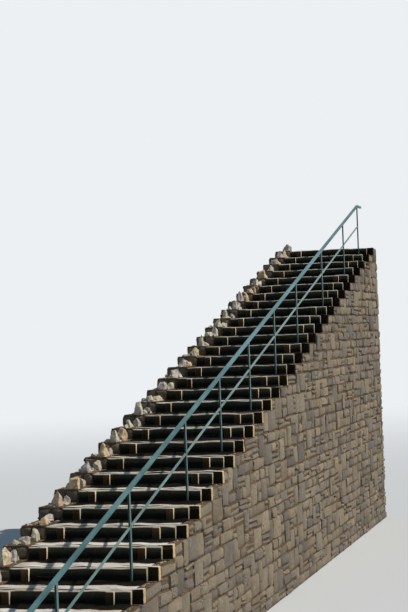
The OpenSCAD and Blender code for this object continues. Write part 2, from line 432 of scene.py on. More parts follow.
class Sheet:
    """A node tree with short ways to add and link nodes."""

    def __init__(self, tree: Tree) -> None:
        """Start on a tree, cleared of its nodes."""
        self.tree = tree
        tree.nodes.clear()

    def add(self, kind: str, **settings: object) -> Node:
        """Add a node.

        Args:
            kind: Blender's name of the kind of node.
            **settings: Its properties.

        Returns:
            The node.
        """
        node = self.tree.nodes.new(kind)
        for key, value in settings.items():
            setattr(node, key, value)
        return node

    def feed(self, socket: Socket, value: object) -> None:
        """Feed an input socket.

        Args:
            socket: The input socket.
            value: A socket to link it to, or a value to set it to.
        """
        if isinstance(value, Socket):
            self.tree.links.new(value, socket)
        elif socket.type == "RGBA" and isinstance(value, tuple) and len(value) == 3:
            socket.default_value = (*value, 1.0)
        else:
            socket.default_value = value

    def link(self, node: Node, **values: object) -> Outputs:
        """Feed a node's inputs by name.

        Args:
            node: The node.
            **values: What each input is fed, by its name with _ for a space.

        Returns:
            The node's outputs.
        """
        for key, value in values.items():
            self.feed(node.inputs[key.replace("_", " ")], value)
        return node.outputs

    def work(self, kind: str, *values: object, **settings: object) -> Socket:
        """Add a node and feed its inputs in their order.

        Args:
            kind: Blender's name of the kind of node.
            *values: What each input is fed.
            **settings: Properties of the node.

        Returns:
            The node's first output.
        """
        node = self.add(kind, **settings)
        for socket, value in zip(node.inputs, values):
            self.feed(socket, value)
        return node.outputs[0]

    def math(self, operation: str, *values: object) -> Socket:
        """Work on one value or two and return the result."""
        return self.work("ShaderNodeMath", *values, operation=operation)

    def plus(self, first: object, second: object) -> Socket:
        """Add two values and return the sum."""
        return self.math("ADD", first, second)

    def minus(self, first: object, second: object) -> Socket:
        """Take one value from another and return the rest."""
        return self.math("SUBTRACT", first, second)

    def times(self, first: object, second: object) -> Socket:
        """Multiply two values and return the product."""
        return self.math("MULTIPLY", first, second)

    def vector(self, operation: str, first: object, second: object) -> Socket:
        """Work on two vectors and return the result."""
        return self.work("ShaderNodeVectorMath", first, second, operation=operation)

    def stretch(self, vector: object, scale: object) -> Socket:
        """Multiply a vector by another and return the result."""
        return self.vector("MULTIPLY", vector, scale)

    def parts(self, vector: object) -> Outputs:
        """Split a vector into its X, Y and Z."""
        return self.link(self.add("ShaderNodeSeparateXYZ"), Vector=vector)

    def blend(self, factor: object, first: object, second: object) -> Socket:
        """Mix two colours.

        Args:
            factor: 0 for the first colour, 1 for the second.
            first: The first colour.
            second: The second colour.

        Returns:
            The mixed colour.
        """
        node = self.add("ShaderNodeMix", data_type="RGBA", clamp_factor=True)
        self.feed(node.inputs[0], factor)
        self.feed(node.inputs[6], first)
        self.feed(node.inputs[7], second)
        return node.outputs[2]

    def span(
        self, value: object, low: float, high: float, to_low: float = 0.0, to_high: float = 1.0
    ) -> Socket:
        """Map a value smoothly from one span to another.

        Args:
            value: The value.
            low: Where the first span starts.
            high: Where the first span ends.
            to_low: Result at the start.
            to_high: Result at the end.

        Returns:
            The result, which stays inside the second span.
        """
        node = self.add("ShaderNodeMapRange", interpolation_type="SMOOTHSTEP")
        values = dict(Value=value, From_Min=low, From_Max=high, To_Min=to_low, To_Max=to_high)
        return self.link(node, **values)["Result"]

    def noise(self, vector: object, scale: object, detail: float = 4.0, roughness: float = 0.55) -> Socket:
        """Add a Noise Texture and return its value."""
        node = self.add("ShaderNodeTexNoise")
        return self.link(node, Vector=vector, Scale=scale, Detail=detail, Roughness=roughness)["Fac"]

    def swirl(self, vector: object, scale: object) -> Socket:
        """Add a Noise Texture and return its colour, to bend a vector by."""
        return self.link(self.add("ShaderNodeTexNoise"), Vector=vector, Scale=scale)["Color"]

    def cells(self, vector: object, scale: object, feature: str = "F1") -> Socket:
        """Add a Voronoi Texture and return its distance."""
        node = self.add("ShaderNodeTexVoronoi", feature=feature)
        return self.link(node, Vector=vector, Scale=scale)["Distance"]

    def tone(self) -> Socket:
        """Read the tone that is stored on the points of a piece."""
        return self.add("ShaderNodeAttribute", attribute_name="tone").outputs["Fac"]

    def normal(self) -> Socket:
        """Read which way the surface faces."""
        return self.add("ShaderNodeNewGeometry").outputs["Normal"]

    def relief(self, height: object, distance: float) -> Socket:
        """Turn a height of about 0 to 1, where 1 is a distance in metres, into a normal."""
        return self.link(self.add("ShaderNodeBump"), Height=height, Distance=distance, Strength=1.0)["Normal"]

    def use(self, group: Tree, **values: object) -> Outputs:
        """Place a shared effect, set its inputs and return its outputs."""
        return self.link(self.add("ShaderNodeGroup", node_tree=group), **values)

    def give(self, **values: object) -> Tree:
        """Put values out of a group.

        Args:
            **values: The values by their names.

        Returns:
            The finished group.
        """
        for name in values:
            self.tree.interface.new_socket(name=name, in_out="OUTPUT", socket_type="NodeSocketFloat")
        self.link(self.add("NodeGroupOutput"), **values)
        return self.tree


def new_effect(name: str, **inputs: str) -> tuple[Sheet, *tuple[Socket, ...]]:
    """Start a shader node group.

    Args:
        name: Name of the effect.
        **inputs: Kind of each input, Float or Vector, by its name.

    Returns:
        The group's sheet, and then the socket of each input.
    """
    tree = bpy.data.node_groups.new(name, "ShaderNodeTree")
    for socket, kind in inputs.items():
        tree.interface.new_socket(name=socket, in_out="INPUT", socket_type=f"NodeSocket{kind}")
    sheet = Sheet(tree)
    return sheet, *sheet.add("NodeGroupInput").outputs[:len(inputs)]


def grain_effect() -> Tree:
    """Make the grain of sawn, weathered timber.

    Returns:
        A group with the streaks, the splits and the height of the grain.
    """
    sheet, place, stretch, tone = new_effect("timber_grain", Vector="Vector", Stretch="Vector", Tone="Float")
    shift = sheet.work("ShaderNodeCombineXYZ", *(sheet.times(tone, away) for away in (7.0, 10.0, 13.0)))
    moved = sheet.vector("ADD", sheet.stretch(place, stretch), shift)
    fine = sheet.noise(moved, 1.0, 6.0, 0.65)
    broad = sheet.noise(moved, 0.28, 3.0, 0.5)
    streaks = sheet.plus(sheet.times(fine, 0.6), sheet.times(broad, 0.4))
    ridge = sheet.math("ABSOLUTE", sheet.minus(sheet.noise(moved, 0.55, 2.0, 0.5), 0.5))
    splits = sheet.times(sheet.span(ridge, 0.0, 0.012, 1.0, 0.0), sheet.span(broad, 0.42, 0.54))
    return sheet.give(
        Streaks=sheet.span(streaks, 0.34, 0.66),
        Splits=splits,
        Height=sheet.minus(streaks, sheet.times(splits, 0.8)),
    )


def sides_effect() -> Tree:
    """Tell apart the tops, the fronts that are painted as if in shade, and the sawn ends of a piece.

    Returns:
        A group with a mask for each of them, with ragged borders.
    """
    sheet, place, normal, raggedness = new_effect(
        "sides_and_painted_shade", Vector="Vector", Normal="Vector", Raggedness="Float"
    )
    x, y, z = sheet.parts(normal)
    ragged = sheet.times(sheet.minus(sheet.noise(place, 9.0), 0.5), raggedness)
    endwise = sheet.math("ABSOLUTE", x)
    # Painted shade: the faces that look down the flight, away from the sun, are masked to take a dark colour.
    front = sheet.span(sheet.minus(ragged, y), 0.2, 0.7)
    return sheet.give(
        Top=sheet.span(sheet.plus(z, ragged), 0.25, 0.7),
        Front=sheet.times(front, sheet.span(endwise, 0.3, 0.6, 1.0, 0.0)),
        End=sheet.span(endwise, 0.6, 0.85),
    )


def joint_effect() -> Tree:
    """Make the dirt and painted shade along a joint that repeats with the steps.

    Returns:
        A group with a mask that is 1 in the joint.
    """
    sheet, place, going, joint, width = new_effect(
        "joint_dirt_and_shade", Vector="Vector", Going="Float", Place="Float", Width="Float"
    )
    half = sheet.times(going, 0.5)
    from_joint = sheet.minus(sheet.plus(sheet.parts(place)[1], going), joint)
    away = sheet.math("PINGPONG", sheet.plus(from_joint, half), half)
    broken = sheet.noise(sheet.stretch(place, (4.0, 30.0, 30.0)), 1.0, 3.0)
    reach = sheet.times(width, sheet.span(broken, 0.36, 0.62, 0.12, 1.0))
    return sheet.give(Mask=sheet.span(sheet.math("DIVIDE", away, reach), 1.0, 0.35))


def painted_shade_earth_effect() -> Tree:
    """Make the near-black earth at the back of each tread, painted there as the shade behind each riser.

    Returns:
        A group with a mask that is 1 where the earth lies.
    """
    sheet, place, going, start = new_effect("painted_shade_earth", Vector="Vector", Going="Float", Start="Float")
    _, along, level = sheet.parts(place)
    steps = sheet.plus(sheet.math("DIVIDE", along, going), 0.5)
    within = sheet.times(sheet.math("FRACT", steps), going)
    ragged = sheet.noise(place, 11.0, 5.0, 0.65)
    broad = sheet.noise(place, 2.6, 2.0, 0.5)
    shift = sheet.plus(sheet.times(ragged, 0.1), sheet.times(broad, 0.2))
    chance = sheet.add("ShaderNodeTexWhiteNoise", noise_dimensions="1D")
    on_step = sheet.link(chance, W=sheet.math("FLOOR", steps))["Value"]
    shift = sheet.plus(shift, sheet.times(on_step, 0.07))
    # Painted shade: the dark earth reaches further forward on the higher steps.
    higher = sheet.plus(sheet.span(level, 1.2, 2.6, 0.0, 0.19), sheet.span(level, 2.6, 3.4, 0.0, 0.12))
    edge = sheet.minus(sheet.plus(sheet.plus(within, shift), higher), 0.185)
    return sheet.give(Mask=sheet.span(sheet.minus(edge, start), -0.012, 0.018))


def stone_effect() -> Tree:
    """Make the face of weathered fieldstone.

    Returns:
        A group with speckle, lichen, cracks and height.
    """
    sheet, place, scale = new_effect("stone_face", Vector="Vector", Scale="Float")
    broad = sheet.noise(place, sheet.times(scale, 0.35), 5.0, 0.6)
    fine = sheet.noise(place, sheet.times(scale, 3.0), 6.0, 0.7)
    lichen = sheet.noise(place, sheet.times(scale, 0.8), 4.0, 0.75)
    pits = sheet.cells(place, sheet.times(scale, 1.4))
    bend = sheet.stretch(sheet.swirl(place, scale), (0.09, 0.09, 0.09))
    bent = sheet.vector("ADD", sheet.stretch(place, (1.0, 1.0, 1.6)), bend)
    lines = sheet.cells(bent, sheet.times(scale, 0.9), "DISTANCE_TO_EDGE")
    cracks = sheet.times(sheet.span(lines, 0.0, 0.035, 1.0, 0.0), sheet.span(broad, 0.5, 0.62))
    height = sheet.plus(sheet.times(broad, 0.6), sheet.times(fine, 0.25))
    height = sheet.minus(height, sheet.times(cracks, 0.3))
    return sheet.give(
        Speckle=sheet.span(sheet.plus(sheet.times(broad, 0.5), sheet.times(fine, 0.5)), 0.36, 0.64),
        Lichen=sheet.span(lichen, 0.6, 0.68),
        Cracks=cracks,
        Height=sheet.plus(height, sheet.times(pits, 0.15)),
    )


def wear_effect() -> Tree:
    """Make the chips and faded patches of old paint.

    Returns:
        A group with masks for the chips and the fading, and the height of the paint's edge.
    """
    sheet, place, amount = new_effect("paint_wear", Vector="Vector", Amount="Float")
    spots = sheet.noise(place, 34.0, 5.0, 0.7)
    clumps = sheet.noise(place, 2.3, 2.0, 0.5)
    level = sheet.plus(sheet.plus(spots, sheet.times(clumps, 0.35)), amount)
    chips = sheet.span(level, 0.86, 0.9)
    faded = sheet.span(sheet.noise(place, 1.1, 4.0, 0.6), 0.38, 0.66)
    return sheet.give(Chips=chips, Faded=faded, Height=sheet.minus(1.0, chips))


class Workshop:
    """Holds the shared effects and starts materials."""

    def __init__(self, flight: Flight) -> None:
        """Build each shared effect once.

        Args:
            flight: Sizes of the flight.
        """
        self.flight = flight
        self.grain = grain_effect()
        self.sides = sides_effect()
        self.joint = joint_effect()
        self.painted_shade_earth = painted_shade_earth_effect()
        self.stone = stone_effect()
        self.wear = wear_effect()

    def start(self, name: str, specular: float) -> tuple[Sheet, Node, Socket]:
        """Start a material.

        Args:
            name: Name of the material.
            specular: Specular level, the same all over.

        Returns:
            The material's sheet, its shader node and its Object coordinates.
        """
        material = bpy.data.materials.new(name)
        material.use_nodes = True
        sheet = Sheet(material.node_tree)
        shader = sheet.add("ShaderNodeBsdfPrincipled")
        sheet.link(shader, Specular_IOR_Level=specular)
        sheet.link(sheet.add("ShaderNodeOutputMaterial"), Surface=shader.outputs[0])
        return sheet, shader, sheet.add("ShaderNodeTexCoord").outputs["Object"]


@dataclass(frozen=True)
class TimberFinish:
    """Weathered timber: bleached tops, warm sawn ends, and fronts painted dark, partly as weathered stain and
    partly as painted shade.

    Attributes:
        front_warmth: How far the fronts of some timbers go to their warm colour.
        near_foot: How much darker the foot of a front is painted, as deeper shade, from 0 to 1.
        joints: Place behind the riser and width of each joint that is darkened with dirt and painted shade.
        shade_earth_from: Where near-black earth, painted as shade, starts behind the riser, or 0 for none.
        shade_soil: Darkest, lightest and grit colour of that earth.
    """

    name: str
    top_pale: Colour
    top_warm: Colour
    top_dark: Colour
    front: Colour
    front_warm: Colour
    side: Colour
    end: Colour
    front_warmth: float = 0.2
    near_foot: float = 0.92
    grain: Along = Along.FLIGHT_WIDTH
    joints: tuple[tuple[float, float], ...] = ()
    joint_dirt_and_shade: Colour = srgb(34, 31, 22)
    shade_earth_from: float = 0.0
    shade_soil: tuple[Colour, Colour, Colour] = (srgb(13, 12, 10), srgb(36, 31, 25), srgb(62, 54, 44))
    # Painted shade: the tint that the foot of a front is darkened to.
    foot_shade_tint: Colour = (0.08, 0.13, 0.14)

    def make(self, shop: Workshop) -> Material:
        """Build the material.

        Args:
            shop: The shared effects.

        Returns:
            The material.
        """
        sheet, shader, place = shop.start(self.name, 0.03)
        going = shop.flight.going
        tone = sheet.tone()
        stretch = (2.2, 62.0, 62.0) if self.grain is Along.FLIGHT_WIDTH else (62.0, 62.0, 2.6)
        grain = sheet.use(shop.grain, Vector=place, Stretch=stretch, Tone=tone)
        sides = sheet.use(shop.sides, Vector=place, Normal=sheet.normal(), Raggedness=0.35)
        patches = sheet.noise(sheet.stretch(place, (1.2, 4.0, 4.0)), 1.0, 4.0, 0.6)
        streaks = grain["Streaks"]

        side = sheet.blend(streaks, share_of(self.side, 0.7), self.side)
        end = sheet.blend(streaks, share_of(self.end, 0.6), self.end)
        side = sheet.blend(sides["End"], side, end)
        warmth = sheet.times(sheet.span(tone, 0.45, 0.9), self.front_warmth)
        front = sheet.blend(sheet.plus(sheet.times(streaks, 0.4), warmth), self.front, self.front_warm)
        # Painted shade: fronts take their dark colour, partly as weathered stain, and grow darker and bluer
        # towards the foot of each riser.
        up_riser = sheet.math("FRACT", sheet.math("DIVIDE", sheet.parts(place)[2], shop.flight.rise))
        near_foot = sheet.span(sheet.plus(up_riser, sheet.times(patches, 0.4)), 1.15, 0.5, 0.0, self.near_foot)
        shaded_foot = tuple(c * share for c, share in zip(self.front, self.foot_shade_tint))
        body = sheet.blend(sides["Front"], side, sheet.blend(near_foot, front, shaded_foot))

        top = sheet.blend(sheet.span(patches, 0.35, 0.7), self.top_pale, self.top_warm)
        top = sheet.blend(sheet.times(sheet.span(streaks, 0.45, 0.0), 0.55), top, self.top_dark)
        top = sheet.blend(sheet.times(sheet.span(tone, 0.55, 1.0), 0.45), top, self.top_warm)
        body = sheet.blend(sides["Top"], body, top)
        body = sheet.blend(sheet.times(grain["Splits"], 0.75), body, share_of(self.top_dark, 0.35))
        # Dirt and painted shade darken each joint between the timbers.
        for joint, width in self.joints:
            dirt_and_shade = sheet.use(shop.joint, Vector=place, Going=going, Place=joint, Width=width)
            body = sheet.blend(sheet.times(dirt_and_shade["Mask"], 0.9), body, self.joint_dirt_and_shade)
        # Painted shade: near-black earth over the back of each tread, where the riser's shade falls.
        if self.shade_earth_from:
            earth = sheet.use(shop.painted_shade_earth, Vector=place, Going=going, Start=self.shade_earth_from)
            grit = sheet.span(sheet.noise(place, 45.0, 6.0, 0.7), 0.35, 0.65)
            shade_soil = sheet.blend(grit, self.shade_soil[0], self.shade_soil[1])
            shade_soil = sheet.blend(sheet.span(sheet.cells(place, 38.0), 0.2, 0.12), shade_soil, self.shade_soil[2])
            body = sheet.blend(earth["Mask"], body, shade_soil)
        brightness = sheet.span(sheet.math("FRACT", sheet.times(tone, 7.31)), 0.0, 1.0, 0.82, 1.12)
        body = sheet.link(sheet.add("ShaderNodeHueSaturation"), Value=brightness, Color=body)["Color"]
        sheet.link(
            shader,
            Base_Color=body,
            Roughness=sheet.span(streaks, 0.0, 1.0, 0.92, 0.74),
            Normal=sheet.relief(grain["Height"], 0.006),
        )
        return bpy.data.materials[self.name]


@dataclass(frozen=True)
class StoneFinish:
    """Fieldstone in a few natural colours, one to a stone."""

    name: str
    colours: tuple[Colour, ...]
    lichen: Colour
    dirt_and_shade: Colour
    scale: float
    dirtiness: float = 0.45

    def make(self, shop: Workshop) -> Material:
        """Build the material.

        Args:
            shop: The shared effects.

        Returns:
            The material.
        """
        sheet, shader, place = shop.start(self.name, 0.15)
        face = sheet.use(shop.stone, Vector=place, Scale=self.scale)
        ramp = sheet.add("ShaderNodeValToRGB")
        sheet.feed(ramp.inputs[0], sheet.tone())
        stops = ramp.color_ramp
        stops.interpolation = "EASE"
        while len(stops.elements) < len(self.colours):
            stops.elements.new(0.5)
        for k, colour in enumerate(self.colours):
            stops.elements[k].position = k / (len(self.colours) - 1)
            stops.elements[k].color = (*colour, 1.0)
        stone = ramp.outputs[0]
        body = sheet.blend(face["Speckle"], sheet.blend(self.dirtiness, stone, self.dirt_and_shade), stone)
        body = sheet.blend(sheet.times(face["Lichen"], 0.5), body, self.lichen)
        body = sheet.blend(sheet.times(face["Cracks"], 0.75), body, share_of(self.dirt_and_shade, 0.5))
        # Painted shade: faces that look down are darkened towards the dirt colour.
        underside = sheet.span(sheet.parts(sheet.normal())[2], -0.2, -0.8, 0.0, 0.6)
        sheet.link(
            shader,
            Base_Color=sheet.blend(underside, body, self.dirt_and_shade),
            Roughness=sheet.span(face["Speckle"], 0.0, 1.0, 0.95, 0.8),
            Normal=sheet.relief(face["Height"], 0.02),
        )
        return bpy.data.materials[self.name]


@dataclass(frozen=True)
class EarthFinish:
    """Dry earth with grit in it."""

    name: str
    light: Colour
    dark: Colour
    grit: Colour

    def make(self, shop: Workshop) -> Material:
        """Build the material.

        Args:
            shop: The shared effects.

        Returns:
            The material.
        """
        sheet, shader, place = shop.start(self.name, 0.04)
        face = sheet.use(shop.stone, Vector=place, Scale=9.0)
        grains = sheet.cells(place, 55.0)
        body = sheet.blend(face["Speckle"], self.dark, self.light)
        sheet.link(
            shader,
            Base_Color=sheet.blend(sheet.span(grains, 0.32, 0.2), body, self.grit),
            Roughness=sheet.span(face["Lichen"], 0.0, 1.0, 0.96, 0.88),
            Normal=sheet.relief(sheet.minus(face["Height"], sheet.times(grains, 0.6)), 0.014),
        )
        return bpy.data.materials[self.name]


@dataclass(frozen=True)
class PaintedSteel:
    """Old blue-green paint on steel, faded by the sun and chipped down to rust, with painted shade on the
    faces that look down the flight.
    """

    name: str
    paint: Colour
    faded: Colour
    shaded: Colour
    rust: Colour
    chipping: float

    def make(self, shop: Workshop) -> Material:
        """Build the material.

        Args:
            shop: The shared effects.

        Returns:
            The material.
        """
        sheet, shader, place = shop.start(self.name, 0.18)
        _, along, level = sheet.parts(place)
        normal = sheet.normal()
        above = sheet.minus(level, sheet.times(along, shop.flight.rise / shop.flight.going))
        near_foot = sheet.span(above, 0.32, 0.12, 0.0, 0.12)
        wear = sheet.use(shop.wear, Vector=place, Amount=sheet.plus(near_foot, self.chipping))
        # Paler higher up the flight to 4.6 m, darker again above 4.9 m, and paler on faces that look up.
        higher = sheet.plus(sheet.span(level, 1.6, 4.6, 0.0, 0.52), sheet.span(level, 4.9, 5.3, 0.0, -0.45))
        paler = sheet.plus(sheet.times(wear["Faded"], 0.45), higher)
        upward = sheet.span(sheet.parts(normal)[2], 0.3, 0.9, 0.0, 0.2)
        body = sheet.blend(sheet.plus(paler, upward), self.paint, self.faded)
        sides = sheet.use(shop.sides, Vector=place, Normal=normal, Raggedness=0.3)
        # Painted shade: faces that look down the flight take the dark shaded colour.
        body = sheet.blend(sheet.times(sides["Front"], 0.9), body, self.shaded)
        streaks = sheet.noise(sheet.stretch(place, (30.0, 30.0, 2.0)), 1.0, 4.0)
        body = sheet.blend(sheet.span(streaks, 0.5, 0.75, 0.0, 0.25), body, share_of(self.paint, 0.6))
        rust = sheet.blend(sheet.noise(place, 90.0), self.rust, share_of(self.rust, 0.45))
        sheet.link(
            shader,
            Base_Color=sheet.blend(wear["Chips"], body, rust),
            Roughness=sheet.span(wear["Chips"], 0.0, 1.0, 0.48, 0.85),
            Normal=sheet.relief(wear["Height"], 0.0008),
        )
        return bpy.data.materials[self.name]


# Timbers


@dataclass(frozen=True)
class Split:
    """A long split in a timber, narrow at both ends."""

    place: Point
    length: float
    width: float
    depth: float
    face: Face


@dataclass
class SplitCutter:
    """A wedge with fine ends, modelled once and copied to cut each split."""

    slice_pitch: float = 0.125
    above_mouth: float = 0.6
    bottom_width: float = 0.15
    end_width: float = 0.1
    end_depth: float = 0.15

    def __post_init__(self) -> None:
        """Model the wedge, one metre long, wide and deep, with its mouth at the origin."""
        deselect_all()
        bpy.ops.mesh.primitive_cube_add(size=1)
        wedge = bpy.context.object
        slice_across(wedge, 0, -0.5, 0.5, self.slice_pitch)
        with editing(wedge):
            shape = bmesh.from_edit_mesh(wedge.data)
            for point in shape.verts:
                taper = max(0.0, 1 - (2 * abs(point.co.x)) ** 2)
                bottom = point.co.z < 0
                width = self.end_width + (1 - self.end_width) * taper
                point.co.y *= (self.bottom_width if bottom else 1.0) * width
                point.co.z = -self.end_depth - (1 - self.end_depth) * taper if bottom else self.above_mouth
            bmesh.update_edit_mesh(wedge.data)
        self.wedge = Copies(wedge)

    def cut(self, piece: Piece, splits: list[Split]) -> None:
        """Cut splits into a piece.

        Args:
            piece: The piece to cut.
            splits: The splits, none of them crossing another.
        """
        if not splits:
            return
        for split in splits:
            local = self.wedge.unit * (split.length, split.width, split.depth)
            if split.face is Face.FRONT:
                local = np.stack((local[:, 0], -local[:, 2], local[:, 1]), axis=1)
            self.wedge.add(local + split.place)
        cutters = self.wedge.join("split_cutters")
        with editing(cutters):
            bpy.ops.mesh.normals_make_consistent(inside=False)
        modifier = piece.modifiers.new("splits", "BOOLEAN")
        modifier.operation = "DIFFERENCE"
        modifier.solver = "EXACT"
        modifier.object = cutters
        apply_modifiers(piece)
        bpy.data.objects.remove(cutters)


@dataclass
class Timbers:
    """One kind of timber in all three parts of the flight.

    Attributes:
        pitch: Greatest distance between the cuts that give it points to warp.
        edge: Width of its worn edges.
        warp: The broad warping and wear of its faces.
        pits: The fine wear of its faces.
        wave: Height of the waves along it.
        tilt: Greatest slope of it across the flight.
        swing: Greatest turn of it in plan.
        bow: Least and greatest rise of its ends over its middle.
        settled: How far its top lies below its packed place.
        top_lanes: Where the splits in its top lie, behind the riser.
        front_lanes: Where the splits in its front lie, above the foot of the riser.
        lead: How far it may stand in front of the riser that it belongs to.
    """

    kind: str
    slot: str
    finish: TimberFinish
    flight: Flight
    shop: Workshop
    cutter: SplitCutter
    seed: int
    pitch: float = 0.07
    edge: float = 0.005
    warp: Rough = Rough(0.16, 0.006)
    pits: Rough = Rough(0.03, 0.0027)
    wave: float = 0.0035
    tilt: float = 0.0035
    swing: float = 0.0025
    bow: tuple[float, float] = (-0.004, 0.003)
    settled: float = 0.0
    top_lanes: tuple[float, ...] = ()
    front_lanes: tuple[float, ...] = ()
    split_chance: float = 0.6
    end_margin: float = 0.2
    lead: float = 0.0

    def build(self) -> None:
        """Weather each part of the flight and hand it over."""
        finish = self.finish.make(self.shop)
        axis = 0 if self.finish.grain is Along.FLIGHT_WIDTH else 2
        for part_number, part in enumerate(PARTS):
            node = f"{part}_{self.kind}"
            piece = copy_of_node(node, f"worn_{node}")
            low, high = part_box(node)
            bevel_edges(piece, self.edge, segments=2)
            apply_modifiers(piece)
            slice_across(piece, axis, low[axis], high[axis], self.pitch)
            left, right = low.x + self.end_margin, high.x - self.end_margin
            self.cutter.cut(piece, self.splits(part_number, left, right))
            self.lay(piece)
            roughen(piece, self.warp, self.pits)
            self.tell_apart(piece)
            hand_over(piece, finish, self.slot, node)

    def splits(self, part_number: int, left: float, right: float) -> list[Split]:
        """Choose the splits of one part of the flight.

        Args:
            part_number: 0, 1 or 2 from the bottom up.
            left: Left limit of the middles of the splits.
            right: Right limit of the middles of the splits.

        Returns:
            The splits, each in a lane of its own.
        """
        draw = np.random.RandomState(self.seed + part_number)
        found = []
        for step in range(part_number * STEPS_IN_PART, (part_number + 1) * STEPS_IN_PART):
            front, foot = self.flight.riser_y(step), self.flight.foot_z(step)
            for lane in self.top_lanes:
                length, centre = draw.uniform(0.25, 1.1), draw.uniform(left, right)
                width, depth = draw.uniform(0.004, 0.011), draw.uniform(0.012, 0.026)
                if draw.uniform() < self.split_chance:
                    place = (centre, front + lane + draw.uniform(-0.012, 0.012), foot + self.flight.rise)
                    found.append(Split(place, length, width, depth, Face.TOP))
            for lane in self.front_lanes:
                length, centre = draw.uniform(0.2, 0.8), draw.uniform(left, right)
                width, depth = draw.uniform(0.003, 0.008), 0.018
                if draw.uniform() < self.split_chance:
                    place = (centre, front, foot + lane + draw.uniform(-0.01, 0.01))
                    found.append(Split(place, length, width, depth, Face.FRONT))
        return found

    def step_of(self, points: np.ndarray) -> np.ndarray:
        """Give the step that each point belongs to."""
        return np.floor((points[:, 1] + self.flight.going / 2 + self.lead) / self.flight.going + 1e-4)

    def lay(self, piece: Piece) -> None:
        """Lay each timber a little out of true, as hand work and frost leave it.

        Args:
            piece: The timbers of one part.
        """
        points = points_of(piece)
        x = points[:, 0].copy()
        step = self.step_of(points).astype(int)
        draw = np.random.RandomState(self.seed + 40)
        tilt = draw.uniform(-self.tilt, self.tilt, STEP_COUNT + 1)[step]
        swing = draw.uniform(-self.swing, self.swing, STEP_COUNT + 1)[step]
        bow = draw.uniform(*self.bow, STEP_COUNT + 1)[step]
        long_wave, short_wave = draw.uniform(0, 2 * math.pi, (2, STEP_COUNT + 1))[:, step]
        points[:, 2] += tilt * x + bow * ((x / self.flight.board_right)**2 - 0.5)
        sunk = 0.75 + 0.3 * np.sin(6.3 * x + long_wave * 3) + 0.15 * np.sin(17.0 * x + short_wave)
        sunk *= np.interp(step, (15, 20), (1.0, 0.3))
        points[:, 2] -= self.settled * sunk * (points[:, 2] / self.flight.rise - step)
        if self.finish.grain is Along.FLIGHT_WIDTH:
            points[:, 2] += self.wave * np.sin(9.2 * x + long_wave)
            points[:, 2] += 0.6 * self.wave * np.sin(21.0 * x + short_wave)
        points[:, 1] += swing * x
        move_points(piece, points)

    def tell_apart(self, piece: Piece) -> None:
        """Store a tone for each timber.

        Args:
            piece: The timbers of one part.
        """
        points = points_of(piece)
        step = self.step_of(points)
        within = points[:, 1] - (step - 0.5) * self.flight.going
        on_right = 2 * (points[:, 0] > 0) * (self.finish.grain is Along.HEIGHT)
        row = np.floor(within / (self.flight.going / 2.75)) + on_right
        set_tone(piece, tones_from(step * STEP_HASH + row * ROW_HASH + self.seed, 437.585))


# Stonework


@dataclass(frozen=True)
class Wall:
    """A face of the bed: where it starts, which way it runs and which way it looks."""

    start: Point
    run: Point
    out: Point

    def place(self, points: np.ndarray) -> np.ndarray:
        """Turn points along, up and out of the wall into the flight's own frame."""
        basis = np.array([self.run, (0.0, 0.0, 1.0), self.out])
        return points @ basis + np.array(self.start)


